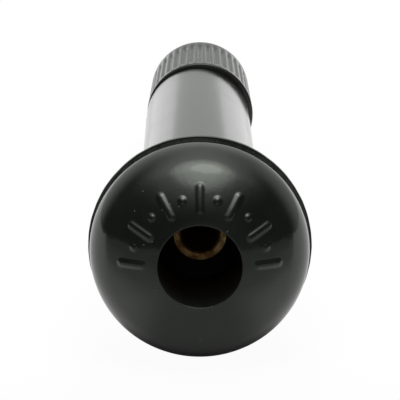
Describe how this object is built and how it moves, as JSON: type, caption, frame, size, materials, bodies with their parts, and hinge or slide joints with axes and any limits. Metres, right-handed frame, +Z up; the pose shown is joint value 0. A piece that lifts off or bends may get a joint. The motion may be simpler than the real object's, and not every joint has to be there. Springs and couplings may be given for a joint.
{
  "type": "tyre valve",
  "caption": "Snap-in rubber tyre valve: domed head with an air inlet, rim groove and long sleeve on a brass stem, with a sprung valve core under a ribbed screw cap.",
  "frame": {"origin": "on the stem's axis, in the plane where the head's back seats on the inside of the rim", "axes": "+Y along the stem from the head to the cap, +Z up, +X to the right as seen from the head's side"},
  "size_m": [0.0194, 0.064, 0.0194],
  "materials": {
    "body_rubber": "semi-gloss moulded black rubber",
    "stem_brass": "turned brass, slightly tarnished",
    "core_brass": "turned brass",
    "pin_brass": "drawn brass wire",
    "gasket_plastic": "off-white waxy plastic",
    "spring_steel": "bright spring wire",
    "seal_rubber": "matt black rubber",
    "cap_plastic": "black moulded plastic with grip grooves"
  },
  "bodies": {
    "valve_body": {"rubber_body": "body_rubber", "brass_stem": "stem_brass", "core_plug": "core_brass", "core_barrel": "core_brass", "barrel_gasket": "gasket_plastic", "core_spring": "spring_steel"},
    "pin": {"core_pin": "pin_brass", "pin_cup": "core_brass", "cup_seal": "seal_rubber"},
    "seal": {"cap_seal": "seal_rubber"},
    "cap": {"cap": "cap_plastic"}
  },
  "joints": [
    {"name": "pin_press", "type": "slide", "parent": "valve_body", "child": "pin", "axis": [0, -1, 0], "range_m": [0, 0.0012], "stiffness_N_per_m": 2000, "springref_m": -0.0015, "deforming": ["core_spring"]},
    {"name": "cap_lift", "type": "slide", "parent": "valve_body", "child": "seal", "axis": [0, 1, 0], "range_m": [0, 0.01191]},
    {"name": "cap_turn", "type": "hinge", "parent": "seal", "child": "cap", "pos_m": [0, 0.0508, 0], "axis": [0, 1, 0], "range_deg": [0, 5400]}
  ],
  "couplings": [
    {"joint": "cap_turn", "follows": "cap_lift", "rad_per_m": 7915.8}
  ]
}
